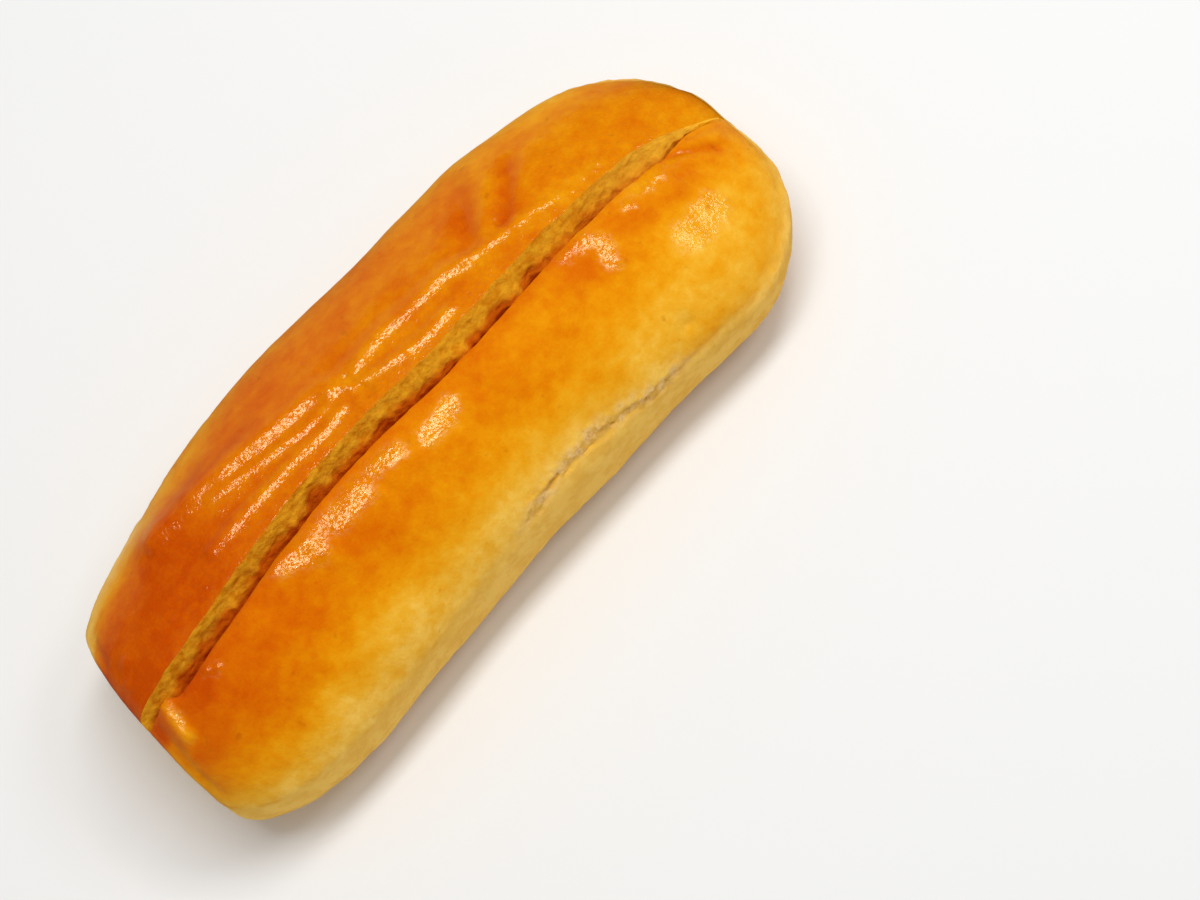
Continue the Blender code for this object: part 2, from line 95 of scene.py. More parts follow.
# The crust's own relief
relief = {
    "rightLipFrom": 0.0018, "rightRollDrop": 0.0017, "farRollShare": 0.45, "farRollAlong": (0.042, 0.054),
    # along x, the width of the right lip's roll, and the width and drop of its slope
    "rightRollWidth": [(-0.070, 0.0024), (-0.037, 0.0018), (-0.030, 0.0040), (-0.008, 0.0042),
                       (-0.003, 0.0052), (0.020, 0.0054), (0.034, 0.0026), (0.046, 0.0018), (0.066, 0.0011)],
    "rightLipWidth": [(-0.070, 0.0075), (-0.010, 0.0075), (-0.003, 0.0100), (0.025, 0.0100),
                      (0.034, 0.0060), (0.070, 0.0060)],
    "rightLipDrop": [(-0.070, 0.00045), (-0.010, 0.00045), (-0.003, 0.0011), (0.025, 0.0011),
                     (0.034, 0.0006), (0.070, 0.0006)],
    "shoulderFrom": 0.0050, "shoulderTo": 0.0150, "shoulderDrop": 0.0006,
    "leftLipFrom": 0.0020, "leftRollWidth": 0.0008, "leftRollDrop": 0.00005,
    # bands along the seam: place below the crust's edge, half width, height
    "groove": (0.0006, 0.0012, -0.00018),
    "crack": (0.0004, 0.00034, -0.0006), "branch": (0.0016, 0.00034, -0.0003),
    "tornLip": (-0.0008, 0.0011, 0.00034), "tornFoot": (0.0014, 0.0012, 0.00020),
    "rightSeam": [(-0.066, 0.0185), (-0.038, 0.0180), (-0.012, 0.0205), (0.010, 0.0248),
                  (0.030, 0.0213), (0.048, 0.0203), (0.070, 0.0195)],
    "leftSeam": [(-0.066, 0.0258), (-0.050, 0.0246), (-0.034, 0.0216), (0.020, 0.0190), (0.066, 0.0195)],
    "seamChange": 0.006,                             # across the ends one seam becomes the other
    "tearFrom": (-0.008, 0.002), "tearTo": (0.030, 0.042),   # where the right seam has torn open
    # noise of the tear, by size and seed, and the values between which it opens and frays
    "opening": (0.0030, 17.0), "opens": (0.02, 0.35), "fray": (0.0018, 27.0), "frays": (-0.35, 0.30),
    "footLumps": (0.0016, 29.0),
    "wallProud": 0.0009, "proudAlong": (0.046, 0.066), "proudBelow": (-0.0012, 0.0030),
    "uneven": 0.00012, "unevenLength": 0.034,
    # layers of noise: height, size, seed, octaves
    "crustNoise": [(0.00016, 0.011, 3.0, 2), (0.00006, 0.0035, 11.0, 2)],
    "wallNoise": [(0.00015, 0.0042, 5.0, 3)], "wallBelow": (-0.0005, 0.002),
    "edgeNoise": [(0.0008, 0.0036, 7.0, 3), (0.0004, 0.0013, 9.0, 2)],
    "edgeWave": [(0.0022, 0.014, 5.0, 2)], "waveAcross": (-0.020, 0.004),
    "foldNoise": [(0.12, 0.0050, 41.0, 2)],          # its height is a share of the fold's
    # how far the surface faces up, sideways or to an end where each relief comes in
    "facesUp": (0.15, 0.5), "facesLevel": (0.45, 0.8), "facesNear": (0.75, 0.9), "facesFar": (0.2, 0.7),
    # place x, y, z, half width, height
    "dimples": [
        (0.0415, -0.0250, 0.0253, 0.0016, -0.0007), (-0.0230, -0.0200, 0.0330, 0.0060, -0.0004),
        (-0.0330, -0.0085, 0.0370, 0.0030, -0.00025), (0.0030, -0.0095, 0.0365, 0.0035, -0.00025),
        (0.0375, -0.0065, 0.0345, 0.0040, -0.00055), (0.0480, -0.0080, 0.0330, 0.0040, -0.00035),
        (-0.0440, -0.0050, 0.0370, 0.0040, -0.00025), (0.0570, -0.0154, 0.0297, 0.0050, -0.00024),
    ],
    # course of each crease (-) or fold (+), its half width and height
    "folds": [
        ([(-0.046, 0.0205), (-0.0215, 0.0184)], 0.0050, 0.00090),
        ([(-0.050, 0.0217), (-0.0335, 0.0200)], 0.0045, 0.00040),
        ([(0.0392, -0.0108), (0.0415, -0.0104)], 0.0020, 0.00022),
        ([(-0.0378, 0.0004), (-0.0340, -0.0014), (-0.0308, -0.0036)], 0.0016, 0.00030),
        ([(-0.0310, -0.0016), (-0.0246, 0.0002)], 0.0014, 0.00018),
        ([(-0.0285, 0.0000), (-0.0272, -0.0060)], 0.0009, -0.00020),
        ([(-0.0162, 0.0000), (-0.0152, -0.0080)], 0.0009, -0.00026),
        ([(-0.0070, -0.0010), (-0.0056, -0.0085)], 0.0012, -0.00030),
        ([(0.0068, -0.0020), (0.0090, -0.0100)], 0.0016, -0.00024),
        ([(0.0195, -0.0030), (0.0222, -0.0100)], 0.0016, -0.00020),
        ([(-0.0391, 0.0126), (-0.0318, 0.0118), (-0.0249, 0.0107), (-0.0142, 0.0096)], 0.0010, -0.00022),
        ([(-0.0031, 0.0104), (0.0025, 0.0096), (0.0086, 0.0090), (0.0180, 0.0082)], 0.0009, -0.00022),
        ([(0.0360, 0.0270), (0.0322, 0.0190), (0.0278, 0.0125)], 0.0020, -0.00055),
        ([(0.0410, 0.0240), (0.0362, 0.0165), (0.0316, 0.0122)], 0.0022, 0.00035),
        ([(0.0450, 0.0200), (0.0412, 0.0160), (0.0368, 0.0122), (0.0345, 0.0104)], 0.0016, -0.00045),
        ([(-0.0065, 0.0146), (-0.0062, 0.0112), (-0.0059, 0.0097)], 0.0006, 0.00026),
        ([(-0.0068, 0.0074), (-0.0074, 0.0042)], 0.0006, 0.00026),
        ([(-0.0028, 0.0134), (-0.0047, 0.0124), (-0.0050, 0.0103), (-0.0042, 0.0065)], 0.0008, -0.00040),
        ([(0.0560, -0.0002), (0.0590, -0.0008), (0.0625, -0.0020), (0.0660, -0.0044), (0.0712, -0.0078)],
         0.0009, -0.00060),
        ([(0.0560, -0.0060), (0.0625, -0.0068), (0.0655, -0.0086), (0.0680, -0.0110)], 0.0009, -0.00032),
        ([(0.0675, -0.0036), (0.0700, -0.0046), (0.0722, -0.0062)], 0.0018, 0.00050),
        ([(0.0725, -0.0095), (0.0700, -0.0130)], 0.0008, -0.00025),
        ([(-0.0672, 0.0215), (-0.0684, 0.0180), (-0.0694, 0.0140)], 0.0006, -0.00055),
        ([(-0.0718, -0.0010), (-0.0724, -0.0050), (-0.0731, -0.0090), (-0.0740, -0.0140), (-0.0750, -0.0190)],
         0.0006, -0.00040),
    ],
    # folds with one even flank: course with the flank to its right, width of the flank,
    # half width of the other side, height
    "ridges": [
        ([(-0.048, 0.0202), (-0.0382, 0.0192), (-0.0297, 0.0180), (-0.0240, 0.0168), (-0.0170, 0.0160),
          (-0.0105, 0.0151), (-0.0087, 0.0130)], 0.0026, 0.0026, 0.00094),
        ([(-0.0362, 0.0165), (-0.0294, 0.0148), (-0.0246, 0.0135), (-0.0209, 0.0126), (-0.0169, 0.0115),
          (-0.0105, 0.0112)], 0.0013, 0.0009, 0.00037),
        ([(-0.0430, 0.0098), (-0.0350, 0.0097), (-0.0300, 0.0095), (-0.0258, 0.0093), (-0.0212, 0.0095),
          (-0.0157, 0.0086), (-0.0095, 0.0088)], 0.0017, 0.0013, 0.00042),
        ([(-0.0037, 0.0128), (0.0046, 0.0134), (0.0132, 0.0125), (0.0209, 0.0121), (0.0239, 0.0105)],
         0.0021, 0.0018, 0.00066),
        ([(0.0239, 0.0105), (0.0290, 0.0096), (0.0322, 0.0085)], 0.0014, 0.0014, 0.00038),
        ([(0.0334, 0.0092), (0.0366, 0.0078)], 0.0013, 0.0012, 0.00028),
        ([(0.0386, 0.0079), (0.0425, 0.0067)], 0.0012, 0.0012, 0.00024),
        ([(-0.0050, 0.0104), (0.0009, 0.0081), (0.0083, 0.0062), (0.0160, 0.0062)], 0.0015, 0.0012, 0.00036),
        ([(0.0347, -0.0004), (0.0380, 0.0002), (0.0418, -0.0014), (0.0424, -0.0076)], 0.0019, 0.0015, 0.00026),
        ([(-0.0698, -0.0068), (-0.0690, -0.0036), (-0.0681, 0.0002)], 0.0016, 0.0014, 0.00085),
        ([(-0.0070, -0.0072), (-0.0150, -0.0064), (-0.0250, -0.0062), (-0.0300, -0.0070)],
         0.0034, 0.0032, 0.00028),
        ([(-0.0310, -0.0068), (-0.0345, -0.0050), (-0.0385, -0.0022)], 0.0034, 0.0032, 0.00034),
        ([(0.0600, -0.0016), (0.0604, -0.0050)], 0.0065, 0.0011, 0.00045),
    ],
    # small raised spots that catch the light: place x, y, half width, height
    "spots": [
        (-0.0668, 0.0104, 0.0008, 0.00050), (-0.0694, 0.0076, 0.0007, 0.00045),
        (-0.0690, 0.0062, 0.0005, 0.00035), (-0.0588, -0.0030, 0.0009, 0.00030),
        (-0.0572, -0.0042, 0.0007, 0.00025), (-0.0690, -0.0062, 0.0009, 0.00045),
        (0.0506, -0.0042, 0.0007, 0.00025), (0.0497, 0.0056, 0.0006, 0.00030),
        (0.0536, 0.0054, 0.0006, 0.00034), (0.0441, 0.0062, 0.0005, 0.00026),
        (0.0466, 0.0052, 0.0005, 0.00024), (0.0520, 0.0050, 0.0005, 0.00026),
        (-0.0560, 0.0080, 0.0005, 0.00025), (-0.0480, 0.0066, 0.0005, 0.00022),
        (0.0556, -0.0046, 0.0008, 0.00012), (0.0583, -0.0040, 0.0008, 0.00012),
        (0.0620, -0.0052, 0.0007, 0.00022), (0.0466, -0.0140, 0.0005, 0.00015),
        (0.0425, -0.0139, 0.0005, 0.00015), (0.0418, -0.0104, 0.0006, 0.00015),
    ],
}

skinMesh = {
    "stepsAlong": 300, "capRings": 30,
    "capCrowding": 0.8,                              # below 1 crowds the rings towards the cap's rim
    "topColumns": 58, "baseColumns": 12,
    "topCrowding": 1.3,                              # above 1 crowds the columns towards the slit
    # heights down each side, and how many columns lie between one and the next
    "rightSide": [(1.0, 5), (0.56, 26), (0.0, 5), (-1.0, 0)],
    "leftSide": [(1.0, 7), (0.0, 6), (-1.0, 0)],
}


def ease(low, high, value):
    share = np.clip((value - low) / (high - low), 0.0, 1.0)
    return share * share * (3.0 - 2.0 * share)


def hump(value, middle, halfWidth):
    return np.exp(-((value - middle) / halfWidth) ** 2)


def mix(start, end, share):
    return start + (end - start) * share


def alongCourse(points, place):
    # smooth curve through the points, level beyond its ends
    knots = np.array(points)
    xs, ys = knots[:, 0], knots[:, 1]
    slopes = np.gradient(ys, xs)
    slopes[1:-1] = (ys[2:] - ys[:-2]) / (xs[2:] - xs[:-2])
    place = np.clip(np.asarray(place, float), xs[0], xs[-1])
    index = np.clip(np.searchsorted(xs, place, side="right") - 1, 0, len(xs) - 2)
    span = xs[index + 1] - xs[index]
    share = (place - xs[index]) / span
    bend = ys[index] + slopes[index] * span / 3.0
    unbend = ys[index + 1] - slopes[index + 1] * span / 3.0
    rest = 1.0 - share
    return (ys[index] * rest ** 3 + 3 * bend * rest ** 2 * share
            + 3 * unbend * rest * share ** 2 + ys[index + 1] * share ** 3)


def noiseField(points, size, seed=0.0, octaves=2):
    # smooth noise from -1 to 1 with features of the given size
    scaled = points.reshape(-1, 3) / size + seed
    values = [noise.fractal(Vector(point), 0.9, 2.1, octaves) for point in scaled]
    return np.array(values).reshape(points.shape[:-1])


def noiseLayers(points, layers):
    return sum(height * noiseField(points, size, seed, octaves) for height, size, seed, octaves in layers)


def crownShare(along):
    return 1.0 - body["crownFall"] * along ** 2 - body["crownTilt"] * along


def spineOffset(along):
    return body["spineBow"] * (1.0 - along ** 2) + body["spineSway"] * (along ** 3 - along)


def crownHeight(x):
    along = np.clip(x / body["halfLength"], -body["crownLineEnd"], body["crownLineEnd"])
    fullness = np.where(along < 0, body["nearFullness"], body["farFullness"])
    roundness = (1.0 - np.abs(along) ** fullness) ** (1.0 / fullness)
    return body["widestHeight"] + body["crownRise"] * crownShare(along) * roundness


def swelling(value, swells):
    return sum(amount * hump(value, place, halfWidth) for place, halfWidth, amount in swells)


def sideReach(x, left):
    leftSide = body["leftReach"] + swelling(x, body["leftSwells"])
    rightSide = body["rightReach"] + swelling(x, body["rightSwells"])
    return np.where(left, leftSide, rightSide)


def bodyPoints(cube):
    # carries points of the cube from -1 to 1 onto the smooth bun
    bx, by, bz = cube[..., 0], cube[..., 1], cube[..., 2]
    ring = np.maximum(np.abs(by), np.abs(bz))
    fullness = np.where(bz > 0, body["crownFullness"], body["footFullness"])
    reach = (np.abs(by) ** fullness + np.abs(bz) ** fullness) ** (1.0 / fullness)
    inward = ring / np.maximum(reach, 1e-9)
    endFullness = np.where(bx < 0, body["nearFullness"], body["farFullness"])
    shrink = (np.abs(bx) ** endFullness + ring ** endFullness) ** (-1.0 / endFullness)
    along, across, up = bx * shrink, by * inward * shrink, bz * inward * shrink
    x = along * body["halfLength"]
    spine = spineOffset(along)
    y = across * sideReach(x, across > 0) + spine
    y = y + (alongCourse(slit["course"], x) - spine) * (1.0 - np.abs(across)) ** 2   # the crown follows the slit
    rise = np.where(up > 0, body["crownRise"] * crownShare(along), body["undersideDrop"])
    z = body["widestHeight"] + up * rise
    face = (-body["halfLength"] + body["nearCut"] + body["nearSkew"] * y
            + body["nearLean"] * (z - body["leanHeight"]))
    x = face + body["nearEdge"] * np.logaddexp(0.0, (x - face) / body["nearEdge"])
    return np.stack([x, y, z], -1)


def courseDistance(x, y, course):
    # distance from a course of points, and which side of it: 1 to its left, -1 to its right
    nearest, side = np.full_like(x, 1.0), np.ones_like(x)
    for (x0, y0), (x1, y1) in zip(course, course[1:]):
        runX, runY = x1 - x0, y1 - y0
        share = np.clip(((x - x0) * runX + (y - y0) * runY) / (runX ** 2 + runY ** 2), 0.0, 1.0)
        distance = np.hypot(x - x0 - share * runX, y - y0 - share * runY)
        turn = np.sign(runX * (y - y0) - runY * (x - x0))
        closer = distance < nearest
        nearest, side = np.where(closer, distance, nearest), np.where(closer, turn, side)
    return nearest, side


def flank(share):
    # an even rise from 0 to 1 with both its ends rounded off
    share, soft = np.clip(share, 0.0, 1.0), 0.2
    foot, head = share ** 2 / (2 * soft), 1 - soft - (1 - share) ** 2 / (2 * soft)
    return np.where(share < soft, foot, np.where(share > 1 - soft, head, share - soft / 2)) / (1 - soft)


def foldHeight(x, y):
    total = np.zeros_like(x)
    for course, halfWidth, height in relief["folds"]:
        total += height * hump(courseDistance(x, y, course)[0], 0.0, halfWidth)
    for course, flankWidth, halfWidth, height in relief["ridges"]:
        distance, side = courseDistance(x, y, course)
        total += height * np.where(side > 0, hump(distance, 0.0, halfWidth), flank(1 - distance / flankWidth))
    for px, py, halfWidth, height in relief["spots"]:
        total += height * hump(np.hypot(x - px, y - py), 0.0, halfWidth)
    return total


def roll(distance, width):
    # quarter round: 1 at the lip's edge, 0 from the given width on
    share = np.clip(distance / width, 0.0, 1.0)
    return 1.0 - np.sqrt(1.0 - (1.0 - share) ** 2)


def nearFlap(x):
    return ease(slit["flapFrom"], slit["flapTo"], x)


def lipDrop(x, y):
    aside, flap = y - alongCourse(slit["course"], x), nearFlap(x)
    rollDrop = relief["rightRollDrop"] * mix(1.0, relief["farRollShare"], ease(*relief["farRollAlong"], x))
    rollDrop = rollDrop * mix(1.0, slit["flapRollShare"], flap)
    lipFrom = mix(relief["rightLipFrom"], slit["flapLipFrom"], flap)
    right = rollDrop * roll(-aside - lipFrom, alongCourse(relief["rightRollWidth"], x))
    lipWidth, drop = alongCourse(relief["rightLipWidth"], x), alongCourse(relief["rightLipDrop"], x)
    right = right + drop * (1 - ease(0.0, lipWidth, -aside - relief["rightLipFrom"]))
    shoulderWidth = relief["shoulderTo"] - relief["shoulderFrom"]
    right = right + relief["shoulderDrop"] * hump(-aside, relief["shoulderTo"], shoulderWidth)
    left = relief["leftRollDrop"] * roll(aside - relief["leftLipFrom"], relief["leftRollWidth"])
    return np.where(aside < 0, right, left) * (1 - ease(slit["fadeStart"], slit["stop"], x))


def seamHeight(x, y):
    share = ease(-relief["seamChange"], relief["seamChange"], y)
    return mix(alongCourse(relief["rightSeam"], x), alongCourse(relief["leftSeam"], x), share)


def tornShare(x, y):
    # 1 where the right seam has torn open
    return ease(*relief["tearFrom"], x) * (1 - ease(*relief["tearTo"], x)) * (y < 0)


def belowSeam(points):
    # depth below the ragged edge of the crust, which waves more on the left
    x, y, z = points[..., 0], points[..., 1], points[..., 2]
    wave = noiseLayers(points, relief["edgeWave"]) * ease(*relief["waveAcross"], y)
    ragged = noiseLayers(points, relief["edgeNoise"]) + wave
    return seamHeight(x, y) - z + ragged


def seamBand(below, name):
    place, halfWidth, height = relief[name]
    return height * hump(below, place, halfWidth)


def seamRelief(points, below):
    x, y = points[..., 0], points[..., 1]
    torn = tornShare(x, y)
    opened = torn * ease(*relief["opens"], noiseField(points * [1, 0.3, 0.3], *relief["opening"]))
    frayed = torn * ease(*relief["frays"], noiseField(points, *relief["fray"]))
    groove = (1 + torn / 3) * seamBand(below, "groove")
    crack = opened * seamBand(below, "crack") + torn * (1 - opened) * seamBand(below, "branch")
    lip = frayed * seamBand(below, "tornLip")
    foot = torn * noiseField(points, *relief["footLumps"]) * seamBand(below, "tornFoot")
    proud = relief["wallProud"] * ease(*relief["proudAlong"], x) * ease(*relief["proudBelow"], below)
    return groove + crack + lip + foot + proud


def crustRelief(points, normals):
    x, y, z = points[..., 0], points[..., 1], points[..., 2]
    below = belowSeam(points)
    upper = ease(*relief["facesUp"], normals[..., 2])
    side = 1 - ease(*relief["facesLevel"], np.abs(normals[..., 2]))
    nearFace = ease(*relief["facesNear"], -normals[..., 0])
    folds = foldHeight(x, y) * (1 + noiseLayers(points * [1, 1, 0], relief["foldNoise"]))
    total = upper * (folds - lipDrop(x, y)) + side * (1 - nearFace) * seamRelief(points, below)
    total += swelling(y, body["farSwells"]) * ease(*relief["facesFar"], normals[..., 0])
    for px, py, pz, halfWidth, height in relief["dimples"]:
        distance = np.linalg.norm(points - np.array([px, py, pz]), axis=-1)
        total += height * hump(distance, 0.0, halfWidth)
    # a slow wave and a ripple that crosses it, their slants and starts given
    turn = 2 * math.pi / relief["unevenLength"]
    wave = np.sin(turn * x + 1.3) * np.cos(0.8 * turn * (y + z))
    ripple = np.sin(1.7 * turn * (x - 0.6 * y) + 0.4) * np.sin(1.3 * turn * z + 2.0)
    total += relief["uneven"] * (wave + 0.6 * ripple) + noiseLayers(points, relief["crustNoise"])
    return total + side * ease(*relief["wallBelow"], below) * noiseLayers(points, relief["wallNoise"])


def gridNormals(points):
    alongStep = np.gradient(points, axis=0)
    roundStep = np.roll(points, -1, axis=1) - np.roll(points, 1, axis=1)
    normals = np.cross(roundStep, alongStep)
    length = np.linalg.norm(normals, axis=-1, keepdims=True)
    normals = normals / np.maximum(length, 1e-12)
    middle = points.reshape(-1, 3).mean(0)
    return normals if ((points - middle) * normals).sum() > 0 else -normals


def tubeFaces(rings, columns):
    # quads between closed rings of points, then fans to a pole at either end
    ring, column = np.meshgrid(np.arange(rings - 1), np.arange(columns), indexing="ij")
    after = (column + 1) % columns
    quads = np.stack([ring * columns + column, ring * columns + after,
                      (ring + 1) * columns + after, (ring + 1) * columns + column], -1)
    faces = quads.reshape(-1, 4).tolist()
    lastRing, firstPole, lastPole = (rings - 1) * columns, rings * columns, rings * columns + 1
    for start in range(columns):
        end = (start + 1) % columns
        faces += [[firstPole, end, start], [lastPole, lastRing + start, lastRing + end]]
    return faces


def tubeObject(name, grid):
    # a closed tube from rings of points, with a pole in the middle of either end
    rings, columns = grid.shape[:2]
    points = np.vstack([grid.reshape(-1, 3), grid[0].mean(0), grid[-1].mean(0)])
    mesh = bpy.data.meshes.new(name)
    mesh.from_pydata(points.tolist(), [], tubeFaces(rings, columns))
    mesh.update()
    item = bpy.data.objects.new(name, mesh)
    bpy.context.scene.collection.objects.link(item)
    return item


def sideColumns(levels):
    return np.concatenate([np.linspace(high, low, count, endpoint=False)
                           for (high, count), (low, _) in zip(levels, levels[1:])])


def sectionLoop():
    # points round the square from -1 to 1: crown, right side, base, left side, crown
    top = np.linspace(0, 1, skinMesh["topColumns"], endpoint=False) ** skinMesh["topCrowding"]
    base = np.linspace(-1, 1, skinMesh["baseColumns"], endpoint=False)
    right = sideColumns(skinMesh["rightSide"])
    left = np.append(sideColumns(skinMesh["leftSide"])[1:], -1.0)[::-1]
    parts = [np.column_stack([-top, np.ones_like(top)]), np.column_stack([-np.ones_like(right), right]),
             np.column_stack([base, -np.ones_like(base)]), np.column_stack([np.ones_like(left), left]),
             np.column_stack([np.append(top[1:], 1.0)[::-1], np.ones_like(top)])]
    return np.vstack(parts)


def skinGrid():
    loop = sectionLoop()
    shares = np.linspace(0.0, 1.0, skinMesh["capRings"] + 1)[1:-1] ** skinMesh["capCrowding"]

    def ring(along, scale):
        return np.column_stack([np.full(len(loop), along), loop * scale])

    rings = [ring(-1.0, scale) for scale in shares]
    rings += [ring(along, 1.0) for along in np.linspace(-1, 1, skinMesh["stepsAlong"])]
    rings += [ring(1.0, scale) for scale in shares[::-1]]
    points = bodyPoints(np.array(rings))
    normals = gridNormals(points)
    points = points + normals * crustRelief(points, normals)[..., None]
    points[..., 2] = body["baseEdge"] * np.logaddexp(0.0, points[..., 2] / body["baseEdge"])
    return points


def slitLevels():
    # rows down the slit, each a mix of two lines of its section
    section = np.array(slit["section"])
    levels = [mix(upper, lower, share)
              for upper, lower, count in zip(section, section[1:], slit["samples"])
              for share in np.linspace(0, 1, count, endpoint=False)]
    return np.array([*levels, section[-1]])


def wallNoise(wall, name, seed, octaves=2, stretch=(1, 1, 1)):
    height, size, shift = slit[name]
    return height * noiseField(wall * stretch, size, seed + shift, octaves)


def crumbRelief(wall, depth, left, seed):
    rough = wallNoise(wall, "lumps", seed) + wallNoise(wall, "fine", seed)
    rough = rough * ease(0.0, slit["roughBelow"], depth)
    if left:
        # the torn foot of the crumb reaches unevenly towards the right lip
        rough = rough + wallNoise(wall, "foot", 0.0, 3, (1, 0, 0)) * ease(*slit["footDepths"], depth)
    share = mix(1.0, slit["farShare"], ease(*slit["farAlong"], wall[..., 0]))
    share = share * (1.0 if left else slit["rightShare"])
    return rough * share * (1 - ease(*slit["smoothDepths"], depth))


def slitBlade():
    # the space that the slit leaves, with the torn crumb's relief on its walls
    xs = np.linspace(slit["nearRun"], slit["stop"], slit["stepsAlong"])[:, None]
    depth, leftNear, leftFar, right = (column[None, :] for column in slitLevels().T)
    fade = ease(slit["fadeStart"], slit["stop"], xs)
    shallow = mix(1.0, slit["shallowShare"], ease(slit["shallowFrom"], slit["shallowTo"], xs))
    deep = np.where(depth < 0, depth, depth * shallow * np.maximum(1 - fade, slit["leastDepth"]))
    z = crownHeight(xs) + slit["fadeClearance"] * fade - deep
    width = mix(1.0, slit["fadeWidth"], ease(slit["fadeStart"], slit["narrowTo"], xs))
    centre = alongCourse(slit["course"], xs)
    leftLine = mix(leftNear, leftFar, ease(slit["leanFrom"], slit["leanTo"], xs))
    rightLine = right * mix(1.0, slit["flapShare"], nearFlap(xs))
    walls = []
    for sign, line, seed in ((-1, rightLine, slit["rightSeed"]), (1, leftLine, slit["leftSeed"])):
        left = sign > 0
        wall = np.stack([np.broadcast_to(xs, z.shape), centre + sign * line * width, z], -1)
        rough = crumbRelief(wall, depth, left, seed)
        lip = wallNoise(wall, "lip", seed, stretch=(1, 0.2, 0.2))
        wall[..., 1] += sign * lip - rough
        wall[..., 2] += slit["crumbLift"] * np.abs(rough) * left
        walls.append(wall)
    return np.concatenate([walls[0], walls[1][:, ::-1]], axis=1)


def srgb(red, green, blue):
    channels = [value / 255 for value in (red, green, blue)]
    return tuple(c / 12.92 if c <= 0.04045 else ((c + 0.055) / 1.055) ** 2.4 for c in channels)


# how the crust's baking spreads: values at the near end, the middle and the far end
bake = {
    "dropWeight": 1.35,                              # how much a drop counts in the distance round from the slit
    "levelEnds": 0.060,                              # drops past this x are taken from the crown there
    "nearSpan": (-0.9, 0.0), "farSpan": (0.1, 0.85),
    # tone on the crown and down the side, and the distances between which one becomes the other
    "left": {"top": (0.93, 0.64, 0.51), "edge": (0.22, 0.46, 0.20),
             "from": (0.0160, 0.024, 0.020), "to": (0.0275, 0.040, 0.034)},
    "right": {"top": (0.78, 0.56, 0.51), "edge": (0.10, 0.10, 0.26),
              "from": (0.010, 0.013, 0.007), "to": (0.034, 0.035, 0.020)},
    "lipTone": 0.12, "lipToneWidth": 0.0042, "lipToneEnd": (0.030, 0.050),   # darker at the right lip, partly painted shade where it rolls into the slit
    "paintedHaloTone": -0.10, "paintedHaloReach": 2.4,       # paler round the glaze's patches: a painted highlight halo round their shine
    "blendLeast": 0.0005, "blendFrom": 0.008, "blendSlope": 0.6,   # the two lobes' tones blend round the ends
    "shadingStainsAbove": 0.020,
    # place x, y, width, amount
    "patches": [(-0.052, 0.016, 0.012, 0.06), (0.030, 0.016, 0.007, 0.10), (0.038, 0.012, 0.005, 0.08),
                (0.036, -0.0065, 0.005, 0.10), (-0.010, 0.020, 0.010, 0.07), (0.066, -0.005, 0.004, 0.02),
                (0.005, -0.020, 0.007, -0.07), (0.012, 0.030, 0.010, 0.06), (-0.061, -0.003, 0.004, 0.16)],
    # course, half width, amount; darker in creases and dents is partly painted shade, paler on ridges and the
    # flap partly painted light
    "stainsAndPaintedShading": [([(0.0360, 0.0270), (0.0322, 0.0190), (0.0278, 0.0125)], 0.0026, 0.13),
               ([(0.0450, 0.0200), (0.0412, 0.0160), (0.0368, 0.0122), (0.0345, 0.0104)], 0.0018, 0.18),
               ([(0.0410, 0.0240), (0.0362, 0.0165), (0.0316, 0.0122)], 0.0020, -0.10),
               ([(0.0585, -0.0010), (0.0625, -0.0024), (0.0660, -0.0046), (0.0705, -0.0074)], 0.0009, 0.16),
               ([(0.0385, -0.0075), (0.0360, -0.0040)], 0.0034, 0.14),
               ([(0.0470, -0.0060), (0.0520, -0.0085), (0.0600, -0.0085)], 0.0030, 0.12),
               ([(-0.0728, -0.0050), (-0.0738, -0.0100), (-0.0752, -0.0170)], 0.0014, -0.42),
               ([(-0.0718, -0.0010), (-0.0731, -0.0090), (-0.0750, -0.0190)], 0.0005, 0.26),
               ([(-0.0691, 0.0205), (-0.0702, 0.0150)], 0.0009, -0.16),
               ([(-0.0692, -0.0070), (-0.0684, -0.0036), (-0.0676, 0.0002)], 0.0013, -0.34),
               ([(-0.0391, 0.0126), (-0.0249, 0.0107), (-0.0142, 0.0096)], 0.0012, 0.08)],
    # bands along the tear: place below the crust's edge, half width, amount; the darker band in the crack is
    # partly painted shade
    "tearBands": [(0.0005, 0.0004, 0.25), (-0.0010, 0.0012, -0.08)],
}

